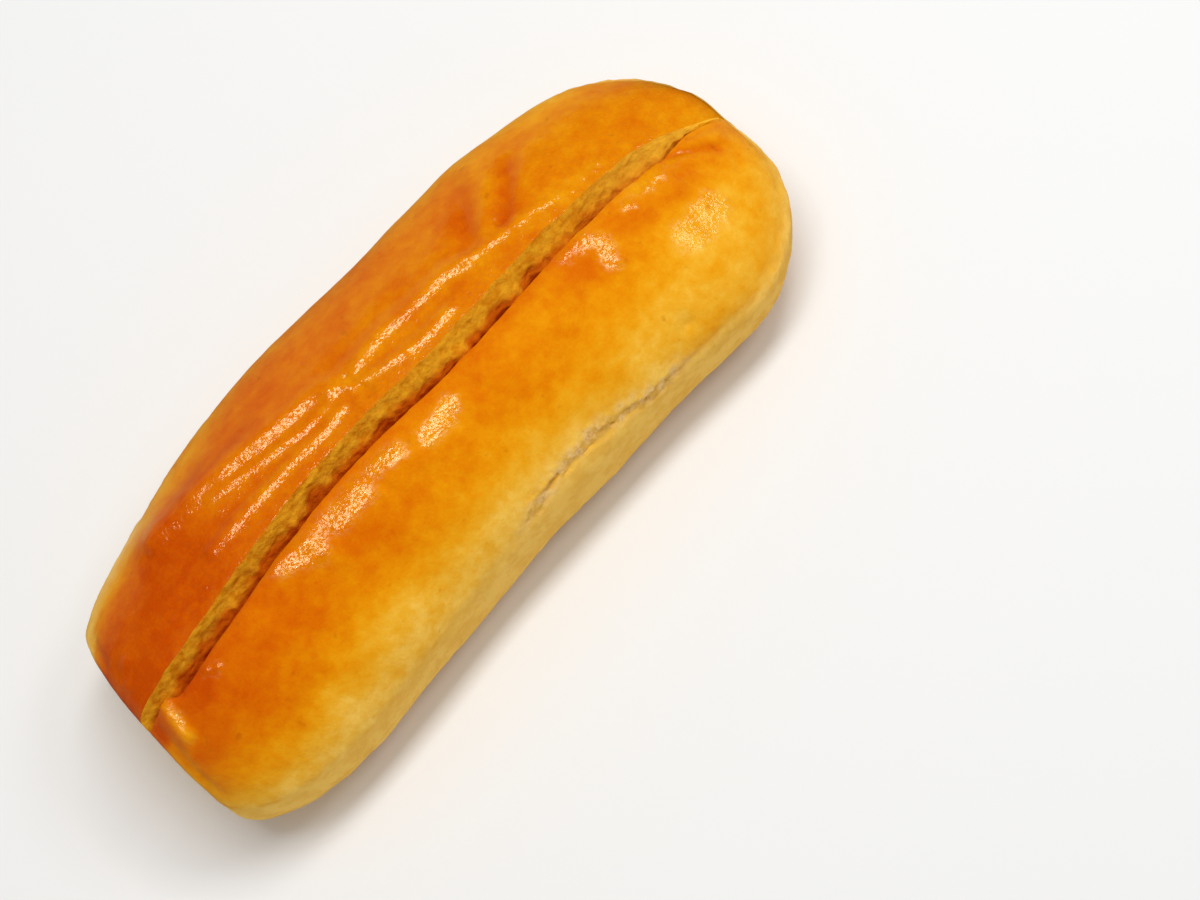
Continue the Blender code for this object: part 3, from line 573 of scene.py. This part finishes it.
# where the glaze lies thick: the least on each lobe, and course, half width and amount of patches
glaze = {
    "left": 1.0, "right": 0.0, "dryBelow": 0.12, "fullFrom": 0.45,
    "dryFacingLeft": (0.30, 0.55), "dryFacingNear": (0.50, 0.72),
    "edgeNoise": [(0.0009, 0.0018, 33.0, 3)],
    "patches": [([(-0.0368, -0.0010), (-0.0345, -0.0026), (-0.0315, -0.0046)], 0.0029, 1.0),
                ([(-0.0300, -0.0026), (-0.0272, -0.0020)], 0.0016, 0.9),
                ([(-0.0248, -0.0040), (-0.0210, -0.0036), (-0.0182, -0.0034)], 0.0027, 1.0),
                ([(-0.0140, -0.0030), (-0.0118, -0.0034), (-0.0098, -0.0038)], 0.0020, 1.0),
                ([(-0.0040, -0.0060), (0.0000, -0.0060), (0.0026, -0.0054)], 0.0021, 1.0),
                ([(0.0360, -0.0024), (0.0405, -0.0018), (0.0420, -0.0060), (0.0405, -0.0095)], 0.0018, 0.95),
                ([(0.0540, -0.0036), (0.0592, -0.0038)], 0.0017, 1.0),
                ([(0.0620, -0.0040), (0.0650, -0.0046)], 0.0010, 1.0),
                ([(0.0534, -0.0158), (0.0606, -0.0150)], 0.0031, 1.0),
                ([(-0.0692, -0.0066), (-0.0684, -0.0036), (-0.0675, 0.0002)], 0.0010, 1.0),
                ([(-0.0592, -0.0028), (-0.0570, -0.0044)], 0.0010, 1.0),
                ([(0.0506, -0.0042), (0.0508, -0.0044)], 0.0012, 1.0),
                ([(-0.0390, 0.0178), (-0.0297, 0.0165), (-0.0185, 0.0146), (-0.0105, 0.0140)], 0.0022, 1.0),
                ([(-0.0362, 0.0162), (-0.0246, 0.0132), (-0.0099, 0.0108), (-0.0046, 0.0120)], 0.0012, 1.0),
                ([(-0.0396, 0.0088), (-0.0212, 0.0087), (-0.0095, 0.0080)], 0.0014, 1.0),
                ([(0.0430, 0.0060), (0.0545, 0.0056)], 0.0010, 1.0),
                ([(-0.0037, 0.0116), (0.0209, 0.0110), (0.0296, 0.0082), (0.0433, 0.0060)], 0.0016, 1.0),
                ([(-0.0046, 0.0093), (0.0009, 0.0071), (0.0150, 0.0053)], 0.0014, 1.0)],
}

crustLook = {
    # tone, and the crust's colour at it
    "ramp": [(0.0, srgb(250, 202, 90)), (0.08, srgb(244, 190, 72)), (0.18, srgb(238, 175, 44)),
             (0.30, srgb(234, 160, 20)), (0.42, srgb(230, 145, 6)), (0.55, srgb(223, 128, 2)),
             (0.70, srgb(216, 108, 1)), (0.85, srgb(208, 91, 1)), (1.0, srgb(197, 74, 0))],
    "wall": srgb(246, 200, 96), "wallDeep": srgb(232, 176, 68), "torn": srgb(246, 206, 142),
    "tornTan": srgb(222, 170, 76), "tornPit": srgb(200, 146, 62), "baseBrown": srgb(214, 132, 44),
    # the rim colour is pale crust with a painted sheen, laid where the left edge faces sideways
    "rim": srgb(252, 204, 152), "freckle": srgb(168, 80, 8),
    "tint": srgb(255, 238, 194), "dryTint": srgb(110, 64, 16),   # reflections of the glaze and of dry crust
    "dullDry": 0.64, "dullGlazed": 0.15, "dullWall": 0.25, "shine": 0.80,
    "wallShare": 0.8, "tanShare": 0.7, "rimShare": 0.45,
    "bump": (1.0, 0.00008),                          # strength, distance
    # light that goes a little way into the bread: share, reach of each colour, and depth
    "scatter": 0.10, "scatterReach": (1.0, 0.4, 0.1), "scatterDepth": 0.0015,
    # noise: size, detail, roughness
    "noise": {"cloud": (0.013, 3.0, 0.55), "blotch": (0.0055, 3.0, 0.6), "mottle": (0.0024, 4.0, 0.65),
              "grain": (0.00050, 2.0, 0.5), "pits": (0.00062, 1.0, 0.5), "freckles": (0.0021, 1.0, 0.4),
              "rags": (0.0017, 3.0, 0.6), "tornPits": (0.0011, 2.0, 0.6)},
    # how far each noise sways the tone
    "sway": {"cloud": 0.36, "blotch": 0.42, "mottle": 0.36, "grain": 0.06},
    # from where to where a noise counts, and what the two ends become if not 0 and 1
    "ranges": {"fibre": (0.36, 0.60), "freckles": (0.72, 0.80, 0.0, 0.30), "rags": (0.44, 0.60, 0.0, 0.75),
               "tornPits": (0.36, 0.46, 0.6, 0.0), "pits": (0.40, 0.50)},
}

crumbLook = {
    "light": srgb(236, 168, 30), "dark": srgb(217, 135, 8),
    # deep: darker crumb lower in the slit, painted shade
    "deep": srgb(216, 106, 4), "fresh": srgb(242, 184, 50),
    "dull": 0.95, "shine": 0.1, "bump": (0.7, 0.0003),
    "scatter": 0.15, "scatterReach": (1.0, 0.5, 0.2), "scatterDepth": 0.0015,
    "noise": {"patch": (0.0019, 3.0, 0.6), "fibre": (0.0010, 3.0, 0.6)},
    "ranges": {"patch": (0.36, 0.54), "fibre": (0.36, 0.50, 0.5, 0.0)},
}


def mixColour(tree, factor, first, second):
    node = tree.nodes.new("ShaderNodeMix")
    node.data_type = "RGBA"
    for socket, value in ((0, factor), (6, first), (7, second)):
        if isinstance(value, bpy.types.NodeSocket):
            tree.links.new(value, node.inputs[socket])
        else:
            node.inputs[socket].default_value = value if socket == 0 else (*value, 1.0)
    return node.outputs[2]


def mathNode(tree, operation, *values):
    node = tree.nodes.new("ShaderNodeMath")
    node.operation = operation
    for index, value in enumerate(values):
        if isinstance(value, bpy.types.NodeSocket):
            tree.links.new(value, node.inputs[index])
        else:
            node.inputs[index].default_value = value
    return node.outputs[0]


def rangeNode(tree, value, fromMin, fromMax, toMin=0.0, toMax=1.0):
    node = tree.nodes.new("ShaderNodeMapRange")
    tree.links.new(value, node.inputs[0])
    for index, limit in enumerate((fromMin, fromMax, toMin, toMax)):
        node.inputs[index + 1].default_value = limit
    return node.outputs[0]


def noiseNodes(tree, settings):
    place, fields = tree.nodes.new("ShaderNodeTexCoord").outputs["Object"], {}
    for name, (size, detail, rough) in settings.items():
        node = tree.nodes.new("ShaderNodeTexNoise")
        node.inputs["Scale"].default_value = 1.0 / size
        node.inputs["Detail"].default_value = detail
        node.inputs["Roughness"].default_value = rough
        tree.links.new(place, node.inputs["Vector"])
        fields[name] = node.outputs["Fac"]
    return fields


def attributeNode(tree, name):
    node = tree.nodes.new("ShaderNodeAttribute")
    node.attribute_name = name
    return node.outputs["Fac"]


def rampNode(tree, value, stops):
    node = tree.nodes.new("ShaderNodeValToRGB")
    elements = node.color_ramp.elements
    while len(elements) < len(stops):
        elements.new(0.5)
    # colours after all the places, because a stop that moves can change the order
    for element, (position, _) in zip(elements, stops):
        element.position = position
    for element, (_, colour) in zip(elements, stops):
        element.color = (*colour, 1.0)
    tree.links.new(value, node.inputs[0])
    return node.outputs[0]


def times(tree, first, second):
    return mathNode(tree, "MULTIPLY", first, second)


def varied(tree, value, field, amount):
    # adds the field's swing about 0.5, times the amount
    return mathNode(tree, "ADD", value, times(tree, mathNode(tree, "SUBTRACT", field, 0.5), amount))


def breadMaterial(name, look):
    material = bpy.data.materials.new(name)
    material.use_nodes = True
    shader = material.node_tree.nodes["Principled BSDF"]
    shader.inputs["Specular IOR Level"].default_value = look["shine"]
    shader.inputs["Subsurface Weight"].default_value = look["scatter"]
    shader.inputs["Subsurface Radius"].default_value = look["scatterReach"]
    shader.inputs["Subsurface Scale"].default_value = look["scatterDepth"]
    return material, material.node_tree, shader


def addBump(tree, shader, height, settings):
    bump = tree.nodes.new("ShaderNodeBump")
    bump.inputs["Strength"].default_value, bump.inputs["Distance"].default_value = settings
    tree.links.new(height, bump.inputs["Height"])
    tree.links.new(bump.outputs["Normal"], shader.inputs["Normal"])


def crustMaterial():
    look, ranges = crustLook, crustLook["ranges"]
    material, tree, shader = breadMaterial("glazedCrust", look)
    field = noiseNodes(tree, look["noise"])
    tone, thick, wall, torn, rim, foot = (
        attributeNode(tree, name) for name in ("bake", "glaze", "wall", "torn", "rim", "foot"))
    for name, amount in look["sway"].items():
        tone = varied(tree, tone, field[name], amount)
    fibre = rangeNode(tree, varied(tree, field["blotch"], field["mottle"], 0.8), *ranges["fibre"])
    wallColour = mixColour(tree, fibre, look["wallDeep"], look["wall"])
    freckles, rags, tornPits, pits = (
        rangeNode(tree, field[name], *ranges[name]) for name in ("freckles", "rags", "tornPits", "pits"))
    colour = rampNode(tree, tone, look["ramp"])
    for share, over in ((freckles, look["freckle"]),
                        (times(tree, wall, look["wallShare"]), wallColour),
                        (times(tree, torn, look["tanShare"]), look["tornTan"]),
                        (times(tree, torn, rags), look["torn"]),
                        (times(tree, torn, tornPits), look["tornPit"]),
                        # the pale rim, partly a painted sheen
                        (times(tree, rim, look["rimShare"]), look["rim"]),
                        (foot, look["baseBrown"])):
        colour = mixColour(tree, share, colour, over)
    tree.links.new(colour, shader.inputs["Base Color"])
    dull = rangeNode(tree, thick, 0.0, 1.0, look["dullDry"], look["dullGlazed"])
    dull = mathNode(tree, "ADD", dull, times(tree, wall, look["dullWall"]))
    tree.links.new(dull, shader.inputs["Roughness"])
    # the glaze shines white, apart from its pits and the dry crust
    tint = mixColour(tree, times(tree, thick, pits), look["dryTint"], look["tint"])
    tree.links.new(tint, shader.inputs["Specular Tint"])
    addBump(tree, shader, varied(tree, field["grain"], field["mottle"], 1.6), look["bump"])
    return material


def crumbMaterial():
    look, ranges = crumbLook, crumbLook["ranges"]
    material, tree, shader = breadMaterial("tornCrumb", look)
    field = noiseNodes(tree, look["noise"])
    patch, fibre = (rangeNode(tree, field[name], *ranges[name]) for name in ("patch", "fibre"))
    colour = mixColour(tree, patch, look["dark"], look["light"])
    colour = mixColour(tree, fibre, colour, look["dark"])
    # deeper in the slit the crumb darkens as painted shade; towards the far end it is fresh and pale
    for name in ("deep", "fresh"):
        colour = mixColour(tree, attributeNode(tree, name), colour, look[name])
    tree.links.new(colour, shader.inputs["Base Color"])
    shader.inputs["Roughness"].default_value = look["dull"]
    addBump(tree, shader, field["fibre"], look["bump"])
    return material


def vertexField(mesh, name):
    values = np.empty(len(mesh.vertices) * 3, dtype=np.float32)
    mesh.vertices.foreach_get(name, values)
    return values.reshape(-1, 3).astype(float)


def bakeAmount(points, below):
    # how darkly the crust has baked, from 0 for cream to 1 for deep orange brown
    x, y, z = points.T
    along = x / body["halfLength"]
    aside = y - alongCourse(slit["course"], x)
    drop = crownHeight(np.clip(x, -bake["levelEnds"], bake["levelEnds"])) - z
    girth = np.hypot(aside, bake["dropWeight"] * np.maximum(drop, 0.0))
    near, far = 1 - ease(*bake["nearSpan"], along), ease(*bake["farSpan"], along)

    def spread(values):
        nearValue, middleValue, farValue = values
        return middleValue + (nearValue - middleValue) * near + (farValue - middleValue) * far

    tones = []
    for side in (bake["left"], bake["right"]):
        fall = ease(spread(side["from"]), spread(side["to"]), girth)
        tones.append(mix(spread(side["top"]), spread(side["edge"]), fall))
    blend = bake["blendLeast"] + bake["blendSlope"] * np.maximum(drop - bake["blendFrom"], 0.0)
    tone = mix(tones[1], tones[0], ease(-blend, blend, aside))
    # painted highlight halo: the base is paler round the shining patches
    tone = tone + bake["paintedHaloTone"] * patchShare(points, bake["paintedHaloReach"], 0.0)
    # darker at the right lip: partly painted shade on the roll into the slit
    lip = hump(aside, 0.0, bake["lipToneWidth"]) * (aside < 0) * (1 - ease(*bake["lipToneEnd"], x))
    tone = tone + bake["lipTone"] * lip
    for px, py, width, amount in bake["patches"]:
        tone = tone + amount * hump(np.hypot(x - px, y - py), 0.0, width)
    # stains that are partly painted shade in creases and painted light on ridges
    upper = z > bake["shadingStainsAbove"]
    for course, halfWidth, amount in bake["stainsAndPaintedShading"]:
        tone = tone + amount * hump(courseDistance(x, y, course)[0], 0.0, halfWidth) * upper
    # the crack's darker band is partly painted shade
    for place, halfWidth, amount in bake["tearBands"]:
        tone = tone + amount * tornShare(x, y) * hump(below, place, halfWidth)
    return tone


def patchShare(points, outer=1.3, inner=0.7):
    # 1 where the glaze has pooled; the patches' edges lie between these shares of the half width
    x, y = points[:, 0], points[:, 1]
    ragged = noiseLayers(points, glaze["edgeNoise"])
    share = np.zeros_like(x)
    for course, halfWidth, amount in glaze["patches"]:
        distance = courseDistance(x, y, course)[0] + ragged
        share = np.maximum(share, amount * ease(outer * halfWidth, inner * halfWidth, distance))
    return share


def glazeAmount(points, normals, tone):
    # how thick the glaze lies, from 0 for dry crust to 1
    aside = points[:, 1] - alongCourse(slit["course"], points[:, 0])
    onTop = 1 - ease(*glaze["dryFacingLeft"], normals[:, 1])
    onTop = onTop * (1 - ease(*glaze["dryFacingNear"], -normals[:, 0]))
    least = np.where(aside > 0, glaze["left"] * onTop, glaze["right"])
    return np.maximum(least * ease(glaze["dryBelow"], glaze["fullFrom"], tone), patchShare(points))


# where each look begins and where it is full: depths below the seam or the crown, places and facings
spans = {
    "wall": (-0.0008, 0.0014), "facesLevel": (0.55, 0.85),
    "torn": (0.0002, 0.0018),                        # place and half width of the band
    "rimFacing": (0.62, 0.92), "rimAcross": (0.008, 0.014),
    "rimEnds": (-0.060, -0.030), "rimBelow": (0.0, 0.0050),
    "foot": (0.0022, 0.0006), "footNoise": [(0.0005, 0.004, 13.0, 2)],
    "deep": (0.0028, 0.0048), "deepNoise": [(0.0014, 0.0040, 19.0, 3)],
    "deepFarShare": 0.55, "deepAlong": (0.020, 0.050),
    "fresh": (0.0060, 0.0030), "freshShare": 0.6, "freshAlong": (0.040, 0.062),
}


def writeShares(mesh):
    points, normals = vertexField(mesh, "co"), vertexField(mesh, "normal")
    x, y, z = points.T
    below, depth = belowSeam(points), crownHeight(x) - z
    side = 1 - ease(*spans["facesLevel"], np.abs(normals[:, 2]))
    tone = bakeAmount(points, below)
    # painted sheen and pale crust where the surface near the left edge faces left
    rim = ease(*spans["rimFacing"], normals[:, 1]) * ease(*spans["rimAcross"], y)
    rim = rim * (1 - ease(*spans["rimEnds"], x)) * (1 - ease(*spans["rimBelow"], below))
    footHeight = z + noiseLayers(points, spans["footNoise"])
    crumbDepth = depth + noiseLayers(points * [1, 0.4, 0.4], spans["deepNoise"])
    shares = {
        "bake": tone,
        "glaze": glazeAmount(points, normals, tone),
        "wall": side * ease(*spans["wall"], below),              # the torn side wall
        "torn": side * tornShare(x, y) * hump(below, *spans["torn"]),
        "rim": rim,                                              # pale crust with a painted sheen where the left edge faces sideways
        "foot": ease(*spans["foot"], footHeight),                # the browned base
        # darker crumb deeper in the slit: painted shade
        "deep": ease(*spans["deep"], crumbDepth) * mix(1.0, spans["deepFarShare"], ease(*spans["deepAlong"], x)),
        "fresh": spans["freshShare"] * ease(*spans["freshAlong"], x) * ease(*spans["fresh"], depth),
    }
    for name, values in shares.items():
        attribute = mesh.attributes.new(name, "FLOAT", "POINT")
        attribute.data.foreach_set("value", values.astype(np.float32))


def cutSlit(skin, blade):
    # the bun is the skin less the blade, and what the blade lays bare is crumb
    crust, crumb = crustMaterial(), crumbMaterial()
    for item in (skin, blade):
        item.data.materials.append(crust)
        item.data.materials.append(crumb)
    blade.data.polygons.foreach_set("material_index", np.ones(len(blade.data.polygons), dtype=np.int32))
    cut = skin.modifiers.new("slit", "BOOLEAN")
    cut.operation, cut.solver, cut.object = "DIFFERENCE", "MANIFOLD", blade
    view = bpy.context.evaluated_depsgraph_get()
    mesh = bpy.data.meshes.new_from_object(skin.evaluated_get(view))
    mesh.name = "hotDogBun"
    bun = bpy.data.objects.new("hotDogBun", mesh)
    bpy.context.scene.collection.objects.link(bun)
    for item in (skin, blade):
        bpy.data.objects.remove(item, do_unlink=True)
    return bun


def finishBun(skin, blade):
    bun = cutSlit(skin, blade)
    mesh = bun.data
    points = vertexField(mesh, "co")
    writeShares(mesh)
    mesh.shade_smooth()
    mesh.set_sharp_from_angle(angle=math.radians(50))
    # the middle of the bun's outline, seen from above, goes to the middle of the frame's
    low, high = points.min(0), points.max(0)
    middle = (Vector(bunBox[0]) + Vector(bunBox[1])) / 2
    shift = Vector((middle.x - (low[0] + high[0]) / 2, middle.y - (low[1] + high[1]) / 2, 0.0))
    mesh.transform(Matrix.Translation(shift))
    return bun, shift


skin, blade = tubeObject("bunSkin", skinGrid()), tubeObject("slitBlade", slitBlade())
print("skin and slit shaped")
bun, spineShift = finishBun(skin, blade)
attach(bun, "root")
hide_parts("bun")
triangles = sum(len(face.vertices) - 2 for face in bun.data.polygons)
print("bun finished:", triangles, "triangles, shifted by", tuple(round(value, 4) for value in spineShift))

# Camera as in the photograph: azimuth and elevation of the view, and its roll
cameraView = {
    "azimuth": -24.84, "elevation": 68.97, "roll": 26.01,
    "lens": 85.0, "distance": 0.5048,
    "target": (0.0, 0.0, 0.020),                     # on the bun's own spine
    "aside": -0.0290, "above": 0.0036,               # the target, from the middle of the picture
}


def facing(back, sideways):
    # right, up and back axes of a camera or lamp that looks against the back direction
    back = Vector(back).normalized()
    up = back.cross(Vector(sideways)).normalized()
    return up.cross(back), up, back


def placed(name, data, axes, place):
    item = bpy.data.objects.new(name, data)
    rows = [(*(axis[row] for axis in axes), place[row]) for row in range(3)]
    item.matrix_world = Matrix((*rows, (0, 0, 0, 1)))
    bpy.context.scene.collection.objects.link(item)
    return item


def placeCamera():
    azimuth, elevation, roll = (math.radians(cameraView[key]) for key in ("azimuth", "elevation", "roll"))
    level = math.cos(elevation)
    back = Vector((math.sin(azimuth) * level, -math.cos(azimuth) * level, math.sin(elevation)))
    sideways, upright, back = facing(back, Vector((0, 0, 1)).cross(back))
    right = sideways * math.cos(roll) - upright * math.sin(roll)
    up = sideways * math.sin(roll) + upright * math.cos(roll)
    target = Vector(cameraView["target"]) + spineShift
    place = target + back * cameraView["distance"] - right * cameraView["aside"] - up * cameraView["above"]
    data = bpy.data.cameras.new("camera")
    data.lens = cameraView["lens"]
    data.sensor_width = 36.0
    data.clip_start = 0.01
    bpy.context.scene.camera = placed("camera", data, (right, up, back), place)


studio = {
    "world": 0.41,
    "floor": srgb(238, 238, 237), "floorSize": 6.0, "floorDrop": 0.0002,
    "lampDistance": 0.8,
    # direction, length along the bun, width across it, power; the fill doesn't show in the glaze
    "lamps": {
        "stripSoftbox": ((0.18, 0.09, 0.97), 0.72, 0.16, 4.15),
        "farSoftbox": ((0.56, -0.23, 0.80), 0.20, 0.18, 0.8),
        "rightFill": ((0.10, -0.96, 0.22), 0.50, 0.20, 0.36),
    },
}


def lightStudio():
    scene = bpy.context.scene
    world = bpy.data.worlds.new("studio")
    world.use_nodes = True
    background = world.node_tree.nodes["Background"]
    background.inputs["Color"].default_value = (1, 1, 1, 1)
    background.inputs["Strength"].default_value = studio["world"]
    scene.world = world
    world.cycles_visibility.glossy = False           # the glaze mirrors the softboxes alone
    for name, (direction, length, width, power) in studio["lamps"].items():
        data = bpy.data.lights.new(name, "AREA")
        data.shape, data.size, data.size_y, data.energy = "RECTANGLE", length, width, power
        axes = facing(direction, (1, 0, 0))
        lamp = placed(name, data, axes, axes[2] * studio["lampDistance"])
        lamp.visible_glossy = not name.endswith("Fill")
    scene.view_settings.view_transform = "Standard"


def layFloor():
    bpy.ops.mesh.primitive_plane_add(size=studio["floorSize"], location=(0, 0, -studio["floorDrop"]))
    floor = bpy.context.object
    floor.name = "floor"
    material = bpy.data.materials.new("paleFloor")
    material.use_nodes = True
    shader = material.node_tree.nodes["Principled BSDF"]
    shader.inputs["Base Color"].default_value = (*studio["floor"], 1.0)
    shader.inputs["Roughness"].default_value = 0.9
    floor.data.materials.append(material)
    floor.visible_glossy = False


placeCamera()
lightStudio()
layFloor()
print("camera and studio placed")
